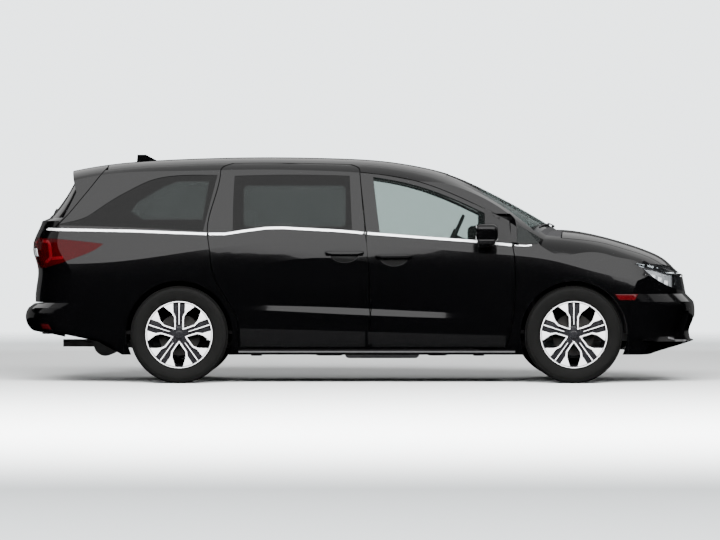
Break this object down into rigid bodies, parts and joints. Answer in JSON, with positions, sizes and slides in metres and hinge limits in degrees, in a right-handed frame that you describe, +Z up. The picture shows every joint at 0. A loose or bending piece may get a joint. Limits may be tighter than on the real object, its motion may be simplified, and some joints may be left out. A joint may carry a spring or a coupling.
{
  "type": "minivan",
  "caption": "Long three-row family van with hinged front doors, sliding rear doors, hood, tailgate, steered front wheels and a hollow furnished cabin.",
  "frame": {"origin": "on the ground at the middle of the vehicle's length and width", "axes": "+X points forward, +Y to the vehicle's left and +Z up"},
  "size_m": [5.2123, 2.3828, 1.7623],
  "materials": {
    "body_black": "deep gloss black paint",
    "glass_clear": "lightly tinted glass",
    "glass_dark": "dark privacy glass",
    "tyre": "rubber",
    "wheel_alloy": "machined faces with black pockets",
    "trim_black": "gloss black trim",
    "plastic_dark": "grained dark plastic",
    "lamp_red": "red lens",
    "lamp_clear": "clear lens over a dark housing",
    "steel_dark": "coated steel",
    "engine_metal": "cast metal",
    "seat_cloth": "light grey upholstery"
  },
  "bodies": {
    "root": {"cowl": "plastic_dark", "dashboard": "plastic_dark", "engine_block": "engine_metal", "exhaust": "steel_dark", "fender_left": "body_black", "fender_right": "body_black", "floor_pan": "steel_dark", "front_bumper": "body_black", "front_seats": "seat_cloth", "front_suspension": "steel_dark", "fuel_tank": "plastic_dark", "grille": "trim_black", "headlamps": "lamp_clear", "rear_bumper": "body_black", "rear_suspension": "steel_dark", "roof_antenna": "body_black", "roof_panel": "body_black", "second_seats": "seat_cloth", "side_frame_left": "body_black", "side_frame_right": "body_black", "side_glass_left": "glass_dark", "side_glass_right": "glass_dark", "sliding_door_left": "body_black", "sliding_door_right": "body_black", "tail_lamps": "lamp_red", "third_seat": "seat_cloth", "windshield": "glass_clear"},
    "hood": {"hood": "body_black"},
    "front_door_right": {"front_door_right": "body_black", "front_door_glass_right": "glass_clear", "mirror_right": "body_black"},
    "front_door_left": {"front_door_left": "body_black", "front_door_glass_left": "glass_clear", "mirror_left": "body_black"},
    "tailgate": {"tailgate": "body_black", "tailgate_glass": "glass_dark", "tailgate_lamps": "lamp_red"},
    "knuckle_right": {"knuckle_right": "steel_dark"},
    "knuckle_left": {"knuckle_left": "steel_dark"},
    "wheel_front_right": {"wheel_front_right": "wheel_alloy", "tyre_front_right": "tyre"},
    "wheel_front_left": {"wheel_front_left": "wheel_alloy", "tyre_front_left": "tyre"},
    "wheel_rear_right": {"wheel_rear_right": "wheel_alloy", "tyre_rear_right": "tyre"},
    "wheel_rear_left": {"wheel_rear_left": "wheel_alloy", "tyre_rear_left": "tyre"},
    "steering_wheel": {"steering_wheel": "plastic_dark"}
  },
  "joints": [
    {"name": "steer_right", "type": "hinge", "parent": "root", "child": "knuckle_right", "pos_m": [1.62, -0.815, 0.3705], "axis": [0, 0, 1], "range_deg": [-35, 35]},
    {"name": "steer_left", "type": "hinge", "parent": "root", "child": "knuckle_left", "pos_m": [1.62, 0.815, 0.3705], "axis": [0, 0, 1], "range_deg": [-35, 35]},
    {"name": "spin_front_right", "type": "hinge", "parent": "knuckle_right", "child": "wheel_front_right", "pos_m": [1.62, -0.855, 0.3705], "axis": [0, 1, 0], "continuous": true},
    {"name": "spin_front_left", "type": "hinge", "parent": "knuckle_left", "child": "wheel_front_left", "pos_m": [1.62, 0.855, 0.3705], "axis": [0, 1, 0], "continuous": true},
    {"name": "spin_rear_right", "type": "hinge", "parent": "root", "child": "wheel_rear_right", "pos_m": [-1.38, -0.855, 0.3705], "axis": [0, 1, 0], "continuous": true},
    {"name": "spin_rear_left", "type": "hinge", "parent": "root", "child": "wheel_rear_left", "pos_m": [-1.38, 0.855, 0.3705], "axis": [0, 1, 0], "continuous": true},
    {"name": "steering_turn", "type": "hinge", "parent": "root", "child": "steering_wheel", "pos_m": [0.738, 0.3838, 1.1168], "axis": [-0.9135, 0, 0.4067], "range_deg": [-490, 490]},
    {"name": "front_door_right_hinge", "type": "hinge", "parent": "root", "child": "front_door_right", "pos_m": [1.047, -0.9671, 0.7], "axis": [0, 0, 1], "range_deg": [0, 68]},
    {"name": "front_door_left_hinge", "type": "hinge", "parent": "root", "child": "front_door_left", "pos_m": [1.047, 0.9671, 0.7], "axis": [0, 0, -1], "range_deg": [0, 68]},
    {"name": "tailgate_hinge", "type": "hinge", "parent": "root", "child": "tailgate", "pos_m": [-1.9412, 0, 1.692], "axis": [0, 1, 0], "range_deg": [0, 78]},
    {"name": "hood_hinge", "type": "hinge", "parent": "root", "child": "hood", "pos_m": [1.577, 0, 1.176], "axis": [0, -1, 0], "range_deg": [0, 50]}
  ],
  "couplings": [
    {"joint": "steer_left", "follows": "steer_right", "ratio": 1},
    {"joint": "steering_turn", "follows": "steer_right", "ratio": 14}
  ]
}
